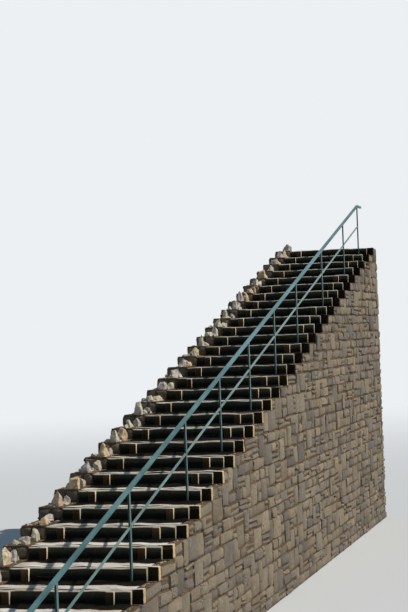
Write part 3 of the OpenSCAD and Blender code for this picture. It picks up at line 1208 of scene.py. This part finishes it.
@dataclass
class Facing:
    """Fieldstones laid in rough courses over the faces of the bed.

    Attributes:
        joint: Width of a joint.
        corner: Usual width of the worn edge of a stone.
        thickness: Depth of a stone into the bed and out of it.
        proud: Least and greatest reach of a stone out of the bed.
        corner_pull: How far a corner is drawn in, as a share of the worn edge.
        edge_pull: The same for an edge.
        wobble: Unevenness along, up and out of the wall.
        lean: Greatest slope of a stone's bed.
        short: Length of the shortest stones.
        long: Length of the longest stones.
        tall_chance: Chance of a stone as high as two courses.
        halved_chance: Chance of two low stones in one place.
    """

    flight: Flight
    seed: int = 11
    joint: float = 0.016
    corner: float = 0.028
    thickness: float = 0.085
    proud: tuple[float, float] = (0.008, 0.03)
    corner_pull: float = 0.5
    edge_pull: float = 0.32
    wobble: Point = (0.009, 0.008, 0.005)
    lean: float = 0.05
    short: float = 0.17
    long: float = 0.5
    tall_chance: float = 0.2
    halved_chance: float = 0.16

    def __post_init__(self) -> None:
        """Model the block that every stone is shaped from."""
        deselect_all()
        bpy.ops.mesh.primitive_cube_add(size=3)
        block = bpy.context.object
        with editing(block):
            bpy.ops.mesh.subdivide(number_cuts=2)
        self.block = Copies(block)
        self.lattice = np.rint(self.block.unit + 1.5).astype(int)
        self.draw = np.random.RandomState(self.seed)

    def stone(self, left: float, right: float, low: float, high: float) -> np.ndarray:
        """Shape one stone for a place in a wall.

        Args:
            left: Where its place starts along the wall.
            right: Where its place ends along the wall.
            low: Foot of its place.
            high: Top of its place.

        Returns:
            Its points along, up and out of the wall.
        """
        proud = self.draw.uniform(*self.proud)
        edge = min(self.corner * self.draw.uniform(0.7, 1.3), min(high - low, right - left) / 3.2)
        half = self.joint / 2
        spans = ((left + half, right - half), (low + half, high - half), (proud - self.thickness, proud))
        points = np.empty((len(self.lattice), 3))
        for axis, (first, last) in enumerate(spans):
            stops = np.array([first, first + edge, last - edge, last])
            points[:, axis] = stops[self.lattice[:, axis]]
        ends = (self.lattice == 0) * 1.0 - (self.lattice == 3) * 1.0
        count = np.abs(ends).sum(axis=1, keepdims=True)
        pull = np.where(count == 3, self.corner_pull, np.where(count == 2, self.edge_pull, 0.0)) * edge
        points += ends * pull
        points += np.clip(self.draw.normal(0, 1, points.shape), -1.6, 1.6) * self.wobble
        lean = self.draw.uniform(-self.lean, self.lean)
        points[:, 1] += (points[:, 0] - (left + right) / 2) * lean
        return points

    def courses(self, starts: list[float], end: float, tops: list[float]) -> list[Place]:
        """Share a wall out into places for stones.

        Args:
            starts: Where each course starts along the wall.
            end: Where every course ends.
            tops: Height of the part of each course before the next one starts.

        Returns:
            The left, right, foot and top of each place.
        """
        rise, taken, places, near = self.flight.rise, [], [], 1e-6
        for course, start in enumerate(starts):
            last = course + 1 == len(starts)
            above = end if last else starts[course + 1]
            blocked, taken = sorted(taken), []
            at = start
            while at < end - near:
                inside = [span for span in blocked if span[0] - near <= at < span[1] - near]
                if inside:
                    at = inside[0][1]
                    continue
                ahead = [span[0] for span in blocked if span[0] > at]
                stop = min(ahead + [end, above if at < above - near else end])
                length = self.draw.uniform(self.short, self.long)
                right = stop if stop - at < length + self.short else at + length
                foot = course * rise
                top = foot + (tops[course] if right <= above + near else rise)
                choice = self.draw.uniform()
                if choice < self.tall_chance and at >= above - near and not last:
                    places.append((at, right, foot, top + rise))
                    taken.append((at, right))
                elif choice < self.tall_chance + self.halved_chance:
                    middle = foot + (top - foot) * self.draw.uniform(0.4, 0.6)
                    places += [(at, right, foot, middle), (at, right, middle, top)]
                else:
                    places.append((at, right, foot, top))
                at = right
        return places

    def face(self, name: str, laid: list[tuple[Wall, Place]], finish: Material) -> None:
        """Lay the stones of one side of the bed, none of them under the ground.

        Args:
            name: Name of the piece.
            laid: The wall and the place of each stone.
            finish: Material of the stones.
        """
        for wall, place in laid:
            points = wall.place(self.stone(*place))
            points[:, 2] = np.maximum(points[:, 2], 0.0)
            self.block.add(points, self.draw.uniform())
        hand_over(self.block.join(name), finish, "bed_stone", angle=50)

    def build(self, finish: Material) -> None:
        """Face both sides, the back and the left shoulder's fronts.

        Args:
            finish: Material of the stones.
        """
        flight = self.flight
        steps = range(STEP_COUNT)
        tops = [flight.rise] * STEP_COUNT
        right_tops = [flight.rise - shoulder_drop(flight)] * STEP_COUNT
        left_starts = [flight.riser_y(step) for step in steps]
        right_starts = [start + flight.sleeper_back for start in left_starts]
        right = Wall((flight.bed_right, 0, 0), (0, 1, 0), (1, 0, 0))
        left = Wall((flight.bed_left, 0, 0), (0, -1, 0), (-1, 0, 0))
        back = Wall((0, flight.bed_back, 0), (-1, 0, 0), (0, 1, 0))
        right_places = self.courses(right_starts, flight.bed_back, right_tops)
        left_places = self.courses(left_starts, flight.bed_back, tops)
        left_places = [(-stop, -start, foot, top) for start, stop, foot, top in left_places]
        back_places = self.courses([-flight.bed_right] * STEP_COUNT, -flight.bed_left, tops)
        sides = {"right": (right, right_places), "left": (left, left_places), "back": (back, back_places)}
        for side, (wall, places) in sides.items():
            self.face(f"bed_{side}_stones", [(wall, place) for place in places], finish)
        fronts = []
        for step in steps:
            wall = Wall((0, flight.riser_y(step), 0), (1, 0, 0), (0, -1, 0))
            cut = flight.bed_left + (flight.shoulder_edge - flight.bed_left) * self.draw.uniform(0.4, 0.6)
            level = (flight.foot_z(step), flight.foot_z(step + 1))
            fronts += [(wall, (flight.bed_left, cut, *level)), (wall, (cut, flight.shoulder_edge, *level))]
        self.face("bed_front_stones", fronts, finish)


def shoulder_drop(flight: Flight) -> float:
    """Measure how far the right shoulder lies below the treads.

    Args:
        flight: Sizes of the flight.

    Returns:
        The drop in metres.
    """
    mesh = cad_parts["bed_10"].data
    level = max(point.co.z for point in mesh.vertices if point.co.x > flight.bed_right - 1e-3)
    return flight.foot_z(STEP_COUNT) - level


@dataclass
class Edging:
    """The rough stones along the left side.

    Attributes:
        chips: Corners broken off each stone.
        chip_reach: How far from its middle each break lies, as a share of the way to the corner.
        edge: Width of its worn edges.
        broken: The ridges of its broken faces.
        pitted: The fine roughness of its faces.
        sunk_most: How far its foot may lie under the top of the shoulder.
    """

    flight: Flight
    seed: int = 71
    chips: int = 9
    chip_reach: tuple[float, float] = (0.42, 0.8)
    edge: float = 0.0015
    broken: Rough = Rough(0.09, 0.034, Pattern.BROKEN_ROCK)
    pitted: Rough = Rough(0.02, 0.007)
    sunk_most: float = 0.03

    def build(self, finish: Material) -> None:
        """Break and roughen each packed stone and hand it over.

        Args:
            finish: Material of the stones.
        """
        for part in PARTS:
            node = f"{part}_edging_stones"
            piece = self.break_off(copy_of_node(node, f"rough_{node}"))
            bevel_edges(piece, self.edge, segments=1, angle=12)
            refine = piece.modifiers.new("refine", "SUBSURF")
            refine.subdivision_type = "SIMPLE"
            refine.levels = refine.render_levels = 2
            roughen(piece, self.broken, self.pitted)
            points = points_of(piece)
            points[:, 2] = np.maximum(points[:, 2], self.level_under(points) - self.sunk_most)
            move_points(piece, points)
            stone = np.floor(points[:, 1] / (self.flight.going / 2) + 1)
            set_tone(piece, tones_from(stone * STEP_HASH, 43758.5))
            hand_over(piece, finish, "edging_stone", node, angle=20)

    def break_off(self, piece: Piece) -> Piece:
        """Break corners off every stone, so that each has the flat faces of split rock.

        Args:
            piece: The stones of one part.

        Returns:
            The stones joined again.
        """
        draw = np.random.RandomState(self.seed)
        name = piece.name
        with editing(piece):
            bpy.ops.mesh.separate(type="LOOSE")
        stones = sorted(bpy.context.selected_objects, key=lambda stone: min(points_of(stone)[:, 1]))
        for stone in stones:
            points = points_of(stone)
            centre = (points.min(axis=0) + points.max(axis=0)) / 2
            with editing(stone):
                for _ in range(self.chips):
                    # Most breaks are on the upper corners, away from the bed.
                    way = draw.normal(0, 1, 3) * (1.0, 1.0, 0.6)
                    way[2] = abs(way[2]) + 0.25
                    way /= np.linalg.norm(way)
                    reach = np.max((points - centre) @ way) * draw.uniform(*self.chip_reach)
                    bpy.ops.mesh.select_all(action="SELECT")
                    bpy.ops.mesh.bisect(
                        plane_co=centre + way * reach, plane_no=way, use_fill=True, clear_outer=True
                    )
        joined = join_all(stones)
        joined.name = name
        return joined

    def level_under(self, points: np.ndarray) -> np.ndarray:
        """Give the level of the shoulder under each point."""
        return (np.floor(points[:, 1] / self.flight.going + 0.5) + 1) * self.flight.rise


@dataclass(frozen=True)
class Shoulder:
    """A strip of the bed beside the timbers.

    Attributes:
        left: Its left side.
        right: Its right side.
        back: How far behind each riser it starts.
        drop: How far it lies below the treads.
    """

    left: float
    right: float
    back: float
    drop: float


@dataclass
class Ground:
    """Earth, gravel and rubble on the bed.

    Attributes:
        gravel_on_step: Stones of gravel and grit on each step.
        rubble_on_step: Stones of rubble on each step.
        rubble_chips: Faces broken into each stone of rubble.
        skin_gap: Room round the skin of earth on a shoulder.
        skin_depth: Depth of that skin.
        skin_sunk: How much of the depth lies under the top of the bed.
        bank_gap: Room round the bank of earth on a tread.
        bank_depth: Greatest reach of the bank from the riser behind it.
        bank_sunk: How far its underside lies under the top of the tread.
    """

    flight: Flight
    seed: int = 5
    gravel_on_step: int = 33
    rubble_on_step: int = 5
    rubble_chips: int = 11
    grit_size: tuple[float, float] = (0.01, 0.028)
    gravel_size: tuple[float, float] = (0.014, 0.08)
    rubble_size: tuple[float, float] = (0.06, 0.15)
    skin_gap: float = 0.002
    skin_depth: float = 0.012
    skin_sunk: float = 0.004
    bank_gap: float = 0.004
    bank_depth: float = 0.2
    bank_sunk: float = 0.012

    def __post_init__(self) -> None:
        """Measure the two shoulders."""
        flight = self.flight
        self.left = Shoulder(flight.bed_left, flight.shoulder_edge, 0.0, 0.0)
        drop = shoulder_drop(flight)
        self.right = Shoulder(flight.board_right, flight.bed_right, flight.sleeper_back, drop)

    def build(self, earth: Material, shade_earth: Material, stone: Material) -> None:
        """Lay the earth and strew the gravel.

        Args:
            earth: Material of the earth on the shoulders.
            shade_earth: Material of the near-black earth on the treads, painted as shade.
            stone: Material of the gravel.
        """
        self.bank_shade_earth(shade_earth)
        self.lay_earth("left_earth", self.left, earth, across=7)
        self.lay_earth("right_earth", self.right, earth, across=3)
        self.strew(stone)
        self.pack_rubble(stone)

    @staticmethod
    def slab(across: int, along: int) -> Copies:
        """Model a slab 1 m long, wide and high, with its lowest left corner at the origin.

        Args:
            across: Faces across its top.
            along: Faces along its top.

        Returns:
            The slab, to be copied.
        """
        deselect_all()
        bpy.ops.mesh.primitive_grid_add(x_subdivisions=across, y_subdivisions=along, size=1)
        block = bpy.context.object
        with editing(block):
            bpy.ops.mesh.extrude_region_move(TRANSFORM_OT_translate={"value": (0, 0, 1)})
            bpy.ops.mesh.select_all(action="SELECT")
            bpy.ops.mesh.normals_make_consistent(inside=False)
        slab = Copies(block)
        slab.unit += (0.5, 0.5, 0.0)
        return slab

    @staticmethod
    def ball(subdivisions: int) -> Copies:
        """Model a ball 1 m across.

        Args:
            subdivisions: 1 for 20 faces, 2 for 80.

        Returns:
            The ball, to be copied.
        """
        deselect_all()
        bpy.ops.mesh.primitive_ico_sphere_add(subdivisions=subdivisions, radius=0.5)
        return Copies(bpy.context.object)

    def lay_earth(self, name: str, shoulder: Shoulder, earth: Material, across: int) -> None:
        """Lay an uneven skin of earth on one shoulder.

        Args:
            name: Name of the piece.
            shoulder: The shoulder.
            earth: Material of the earth.
            across: Faces across the shoulder.
        """
        flight, gap = self.flight, self.skin_gap
        skin = self.slab(across, along=18)
        size = (shoulder.right - shoulder.left - 2 * gap, flight.going - shoulder.back - gap, self.skin_depth)
        skin.unit = skin.unit * size - (0.0, 0.0, self.skin_sunk)
        for step in range(STEP_COUNT):
            start = flight.riser_y(step) + shoulder.back + gap / 2
            skin.add(skin.unit + (shoulder.left + gap, start, flight.foot_z(step + 1) - shoulder.drop))
        piece = skin.join(name)
        roughen(piece, Rough(0.09, 0.02))
        hand_over(piece, earth, "bed_stone", angle=60)

    def bank_shade_earth(self, shade_earth: Material) -> None:
        """Bank near-black earth against the foot of each riser as painted shade, thinning out to a ragged
        front.

        Args:
            shade_earth: Material of the earth.
        """
        flight, gap = self.flight, self.bank_gap
        bank = self.slab(across=56, along=7)
        x = flight.board_left + gap + bank.unit[:, 0] * (flight.board_right - flight.board_left - 2 * gap)
        away = (1 - bank.unit[:, 1]) * self.bank_depth
        on_top = bank.unit[:, 2] > 0.5
        draw = np.random.RandomState(self.seed + 60)
        for step in range(1, STEP_COUNT):
            waves = zip((1.0, 0.7, 0.5), (5.1, 12.7, 29.0), draw.uniform(0, 2 * math.pi, 3))
            ripple = sum(share * np.sin(rate * x + phase) for share, rate, phase in waves)
            reach, crest = 0.15 + 0.03 * ripple, 0.017 + 0.004 * ripple
            height = np.maximum(crest * (1 - away / reach), -0.007)
            level = flight.foot_z(step) + np.where(on_top, height, -self.bank_sunk)
            bank.add(np.stack((x, flight.riser_y(step) + gap - away, level), axis=1))
        piece = bank.join("tread_earth")
        roughen(piece, Rough(0.05, 0.01))
        hand_over(piece, shade_earth, "bed_stone", angle=60)

    def strew(self, stone: Material) -> None:
        """Strew gravel on the left shoulder and grit, half as much, on the right one.

        Args:
            stone: Material of the gravel.
        """
        flight = self.flight
        small, big = self.gravel_size
        pebble = self.ball(subdivisions=1)
        draw = np.random.RandomState(self.seed)
        for step in range(STEP_COUNT):
            for number in range(self.gravel_on_step):
                on_left = number % 3 > 0
                shoulder = self.left if on_left else self.right
                size = small + (big - small) * draw.uniform()**2 if on_left else draw.uniform(*self.grit_size)
                place = (
                    draw.uniform(shoulder.left + size, shoulder.right - size),
                    flight.riser_y(step) + draw.uniform(shoulder.back + size, flight.going - size),
                    flight.foot_z(step + 1) - shoulder.drop + 0.006,
                )
                shape = pebble.unit * draw.uniform(0.6, 1.2, 3) * (1, 1, 0.65)
                shape = shape + draw.uniform(-0.09, 0.09, shape.shape)
                pebble.add(shape * size + place, draw.uniform())
        hand_over(pebble.join("shoulder_gravel"), stone, "edging_stone", angle=45)

    def pack_rubble(self, stone: Material) -> None:
        """Pack broken rubble round the feet of the edging stones.

        Args:
            stone: Material of the rubble.
        """
        flight, left = self.flight, self.left
        ball = self.ball(subdivisions=2)
        draw = np.random.RandomState(self.seed + 90)
        for step in range(STEP_COUNT):
            for _ in range(self.rubble_on_step):
                size = draw.uniform(*self.rubble_size)
                shape = ball.unit.copy()
                for _ in range(self.rubble_chips):
                    way = draw.normal(0, 1, 3)
                    way /= np.linalg.norm(way)
                    shape -= np.outer(np.maximum(shape @ way - draw.uniform(0.2, 0.36), 0.0), way)
                shape *= draw.uniform(0.75, 1.25, 3) * (1, 1, 0.85)
                inset = 0.6 * size
                place = (
                    draw.uniform(left.left + inset, left.right - inset),
                    flight.riser_y(step) + draw.uniform(inset, flight.going - inset),
                    flight.foot_z(step + 1) + 0.12 * size,
                )
                ball.add(shape * size + place, draw.uniform())
        piece = ball.join("edging_rubble")
        roughen(piece, Rough(0.015, 0.004))
        hand_over(piece, stone, "edging_stone", angle=22)


# Handrail


@dataclass
class Handrail:
    """The painted steel of the handrail, and the weld seams at its joints."""

    flight: Flight
    shop: Workshop
    seam: float = 0.0035
    seam_below_head: float = 0.012

    def build(self) -> None:
        """Paint the steel and add the seams."""
        rust = srgb(104, 62, 38)
        paints = {
            "rail_paint": ((41, 78, 79), (96, 138, 143), (44, 72, 75), -0.09),
            "faded_paint": ((78, 107, 106), (130, 156, 152), (58, 80, 79), -0.07),
            "post_paint": ((70, 96, 96), (98, 124, 122), (15, 23, 25), -0.06),
        }
        rail_paint, faded_paint, post_paint = (
            PaintedSteel(name, srgb(*paint), srgb(*faded), srgb(*shaded), rust, chipping).make(self.shop)
            for name, (paint, faded, shaded, chipping) in paints.items()
        )
        finish_node("top_rail", rail_paint)
        finish_node("top_rail_ends", rail_paint)
        finish_node("mid_rails", faded_paint)
        for part in PARTS:
            finish_node(f"{part}_posts", post_paint)
        self.add_seams(rail_paint)

    def add_seams(self, paint: Material) -> None:
        """Run a seam round the head of each post and round each end of the middle rails.

        Args:
            paint: Material of the seams.
        """
        seam, seams = self.seam, []
        slope = math.atan2(self.flight.rise, self.flight.going)
        for part in PARTS:
            for low, high in islands_of(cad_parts[f"{part}_posts"]):
                place = ((low.x + high.x) / 2, (low.y + high.y) / 2, high.z - self.seam_below_head)
                size = (high.x - low.x + 2 * seam, high.y - low.y + 2 * seam, 2 * seam)
                seams.append(self.seam_block(place, size, slope))
        for low, high in islands_of(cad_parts["mid_rails"]):
            depth = (high.z - low.z) - (high.y - low.y) * math.tan(slope)
            size = (high.x - low.x + 1.2 * seam, 2 * seam, depth + 1.2 * seam)
            for y, z in ((low.y + seam * 0.6, low.z + depth / 2), (high.y - seam * 0.6, high.z - depth / 2)):
                seams.append(self.seam_block(((low.x + high.x) / 2, y, z), size, 0.0))
        piece = join_all(seams)
        piece.name = "weld_seams"
        roughen(piece, Rough(0.008, 0.002))
        hand_over(piece, paint, "painted_steel", angle=60)

    def seam_block(self, place: Point, size: Point, pitch: float) -> Piece:
        """Model one seam as a rounded collar.

        Args:
            place: Centre of the seam.
            size: Its width, depth and height.
            pitch: Its tilt along the flight.

        Returns:
            The seam, with its place in its mesh.
        """
        deselect_all()
        bpy.ops.mesh.primitive_cube_add(size=1)
        block = bpy.context.object
        block.data.transform(Matrix.Diagonal((*size, 1.0)))
        with editing(block):
            bpy.ops.mesh.bevel(offset=self.seam * 0.9, segments=2, affect="EDGES")
            bpy.ops.mesh.select_all(action="SELECT")
            bpy.ops.mesh.subdivide(number_cuts=1)
        block.data.transform(Matrix.Translation(place) @ Matrix.Rotation(pitch, 4, "X"))
        return block


def islands_of(node: Piece) -> list[tuple[Vector, Vector]]:
    """Give the box of each separate solid of a node.

    Args:
        node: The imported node.

    Returns:
        The lowest and highest corner of each solid, from the lowest up.
    """
    shape = bmesh.new()
    shape.from_mesh(node.data)
    bmesh.ops.remove_doubles(shape, verts=shape.verts, dist=MERGE)
    boxes, left = [], set(shape.verts)
    while left:
        stack, found = [left.pop()], []
        while stack:
            point = stack.pop()
            found.append(point.co.copy())
            for edge in point.link_edges:
                other = edge.other_vert(point)
                if other in left:
                    left.remove(other)
                    stack.append(other)
        low = Vector([min(p[axis] for p in found) for axis in range(3)])
        high = Vector([max(p[axis] for p in found) for axis in range(3)])
        boxes.append((low, high))
    shape.free()
    return sorted(boxes, key=lambda corners: corners[0].y)


# Studio


@dataclass(frozen=True)
class Studio:
    """Camera, light, floor and background."""

    camera_place: Point = (5.859, -12.2125, 3.776)
    turn_left: float = 14.776
    look_up: float = 1.036
    roll: float = -2.038
    lens: float = 96.03
    frame_height: float = 36.0
    sun_from: Point = (1.03, 0.3, 1.0)
    sun_strength: float = 3.55
    sun_softness: float = 0.8
    sun_colour: Colour = (1.0, 0.965, 0.91)
    sky_strength: float = 0.25
    sky_colour: Colour = (0.52, 0.74, 1.0)
    background: Colour = (0.84, 0.87, 0.89)
    floor_colour: Colour = (0.66, 0.665, 0.66)
    floor_reach: float = 400.0
    floor_fades: tuple[float, float] = (16.0, 60.0)
    floor_level: float = -0.002

    def build(self, flight: Flight) -> None:
        """Set up the whole studio.

        Args:
            flight: Sizes of the flight, to centre the floor on.
        """
        self.add_camera()
        self.add_light()
        self.add_floor(flight)
        bpy.context.scene.view_settings.view_transform = "Standard"

    def add_camera(self) -> None:
        """Place the camera as the photo was taken."""
        data = bpy.data.cameras.new("camera")
        data.sensor_fit = "VERTICAL"
        data.sensor_height = self.frame_height
        data.lens = self.lens
        data.clip_end = 2 * self.floor_reach
        camera = bpy.data.objects.new("camera", data)
        bpy.context.scene.collection.objects.link(camera)
        turn = Matrix.Rotation(math.radians(self.turn_left), 4, "Z")
        tip = Matrix.Rotation(math.radians(90 + self.look_up), 4, "X")
        roll = Matrix.Rotation(math.radians(self.roll), 4, "Z")
        camera.matrix_world = Matrix.Translation(self.camera_place) @ turn @ tip @ roll
        bpy.context.scene.camera = camera

    def add_light(self) -> None:
        """Add a soft sun and a pale world."""
        sun = bpy.data.lights.new("sun", "SUN")
        sun.energy = self.sun_strength
        sun.angle = math.radians(self.sun_softness)
        sun.color = self.sun_colour
        lamp = bpy.data.objects.new("sun", sun)
        bpy.context.scene.collection.objects.link(lamp)
        lamp.rotation_euler = Vector(self.sun_from).to_track_quat("Z", "Y").to_euler()
        world = bpy.data.worlds.new("studio")
        bpy.context.scene.world = world
        world.use_nodes = True
        sheet = Sheet(world.node_tree)
        light = sheet.work("ShaderNodeBackground", self.sky_colour, self.sky_strength)
        seen = sheet.work("ShaderNodeBackground", self.background)
        path = sheet.add("ShaderNodeLightPath").outputs
        rays = sheet.math("MAXIMUM", path["Is Camera Ray"], path["Is Glossy Ray"])
        rays = sheet.math("MAXIMUM", rays, path["Is Transmission Ray"])
        mixed = sheet.work("ShaderNodeMixShader", rays, light, seen)
        sheet.link(sheet.add("ShaderNodeOutputWorld"), Surface=mixed)

    def add_floor(self, flight: Flight) -> None:
        """Lay a pale floor that fades into the background.

        Args:
            flight: Sizes of the flight, to centre the floor on.
        """
        centre = (0, flight.bed_back / 2, 0)
        deselect_all()
        bpy.ops.mesh.primitive_grid_add(size=2 * self.floor_reach, x_subdivisions=8, y_subdivisions=8)
        floor = bpy.context.object
        floor.name = "floor"
        floor.data.transform(Matrix.Translation((0, centre[1], self.floor_level)))
        material = bpy.data.materials.new("floor")
        material.use_nodes = True
        sheet = Sheet(material.node_tree)
        away = sheet.vector("SUBTRACT", sheet.add("ShaderNodeTexCoord").outputs["Object"], centre)
        distance = sheet.link(sheet.add("ShaderNodeVectorMath", operation="LENGTH"), Vector=away)["Value"]
        camera_ray = sheet.add("ShaderNodeLightPath").outputs["Is Camera Ray"]
        far = sheet.times(sheet.span(distance, *self.floor_fades), camera_ray)
        ground = sheet.work("ShaderNodeBsdfDiffuse", self.floor_colour)
        haze = sheet.work("ShaderNodeEmission", self.background)
        mixed = sheet.work("ShaderNodeMixShader", far, ground, haze)
        sheet.link(sheet.add("ShaderNodeOutputMaterial"), Surface=mixed)
        floor.data.materials.append(material)


def timber_kinds(flight: Flight, shop: Workshop) -> list[Timbers]:
    """List the kinds of timber with their finishes.

    Args:
        flight: Sizes of the flight.
        shop: The shared effects.

    Returns:
        The kinds, from the front of a step to its back.
    """
    board_joint = (flight.board_t + flight.sleeper_front) / 2
    sleeper_joint = flight.sleeper_back + 0.002
    plank_joint = (flight.sleeper_back + flight.going) / 2
    joints = ((board_joint, 0.018), (sleeper_joint, 0.016), (plank_joint, 0.012))
    warm = dict(top_warm=srgb(206, 191, 168), top_dark=srgb(126, 117, 104))
    board = TimberFinish(
        "weathered_board", srgb(212, 206, 194), front=srgb(80, 80, 68), front_warm=srgb(92, 76, 58),
        side=srgb(150, 136, 112), end=srgb(196, 178, 146), joints=joints, **warm,
    )
    sleeper = TimberFinish(
        "weathered_sleeper", srgb(232, 226, 215), front=srgb(60, 56, 46), front_warm=srgb(96, 70, 46),
        side=srgb(150, 132, 104), end=srgb(214, 184, 142), joints=joints, shade_earth_from=0.325, **warm,
    )
    plank = TimberFinish(
        "bleached_plank", srgb(238, 232, 221), front=srgb(70, 62, 52), front_warm=srgb(96, 78, 62),
        side=srgb(150, 136, 114), end=srgb(198, 178, 146), joints=joints, shade_earth_from=0.325, **warm,
    )
    stake = TimberFinish(
        "weathered_stake", srgb(214, 206, 186), front=srgb(74, 62, 44), front_warm=srgb(132, 92, 54),
        side=srgb(226, 206, 178), end=srgb(230, 212, 186), front_warmth=0.7, near_foot=0.5, grain=Along.HEIGHT,
        **warm,
    )
    common = dict(flight=flight, shop=shop, cutter=SplitCutter())
    plank_lanes = (0.2, 0.25, 0.31, plank_joint + 0.05, plank_joint + 0.11)
    return [
        Timbers(
            "front_boards", "board_timber", board, seed=101, settled=0.008,
            front_lanes=(0.05, 0.1), top_lanes=(0.04,), **common,
        ),
        Timbers("sleepers", "sleeper_timber", sleeper, seed=131, top_lanes=(0.125,), **common),
        Timbers("tread_planks", "plank_timber", plank, seed=161, top_lanes=plank_lanes, **common),
        Timbers("stakes", "stake_timber", stake, seed=191, pitch=0.08, edge=0.013, lead=0.06, **common),
    ]


def main() -> None:
    """Build the looks of the whole flight in order."""
    logging.basicConfig(level=logging.INFO, format="%(message)s")
    flight = Flight.from_frame()
    LOG.info("%s", flight)
    Studio().build(flight)
    shop = Workshop(flight)
    for timbers in timber_kinds(flight, shop):
        timbers.build()
    bed_colours = ((116, 107, 95), (134, 123, 106), (102, 97, 90), (142, 128, 106), (122, 109, 92))
    bed_stone = StoneFinish(
        "bed_fieldstone", tuple(srgb(*colour) for colour in bed_colours),
        lichen=srgb(150, 148, 132), dirt_and_shade=srgb(72, 62, 52), scale=8.0,
    ).make(shop)
    edging_colours = ((228, 221, 203), (208, 199, 174), (194, 184, 180), (216, 186, 142), (208, 197, 174))
    edging_stone = StoneFinish(
        "edging_fieldstone", tuple(srgb(*colour) for colour in edging_colours),
        lichen=srgb(236, 232, 216), dirt_and_shade=srgb(98, 84, 66), scale=14.0, dirtiness=0.42,
    ).make(shop)
    earth = EarthFinish("earth", srgb(112, 92, 70), srgb(72, 58, 44), srgb(146, 130, 108)).make(shop)
    # Painted shade: near-black earth for the back of each tread.
    shade_earth = EarthFinish("painted_shade_earth", srgb(27, 24, 19), srgb(13, 12, 10), srgb(42, 38, 31)).make(shop)
    for number in range(1, 11):
        finish_node(f"bed_{number:02d}", earth)
    Facing(flight).build(bed_stone)
    Edging(flight).build(edging_stone)
    Ground(flight).build(earth, shade_earth, edging_stone)
    Handrail(flight, shop).build()


if __name__ == "__main__":
    main()
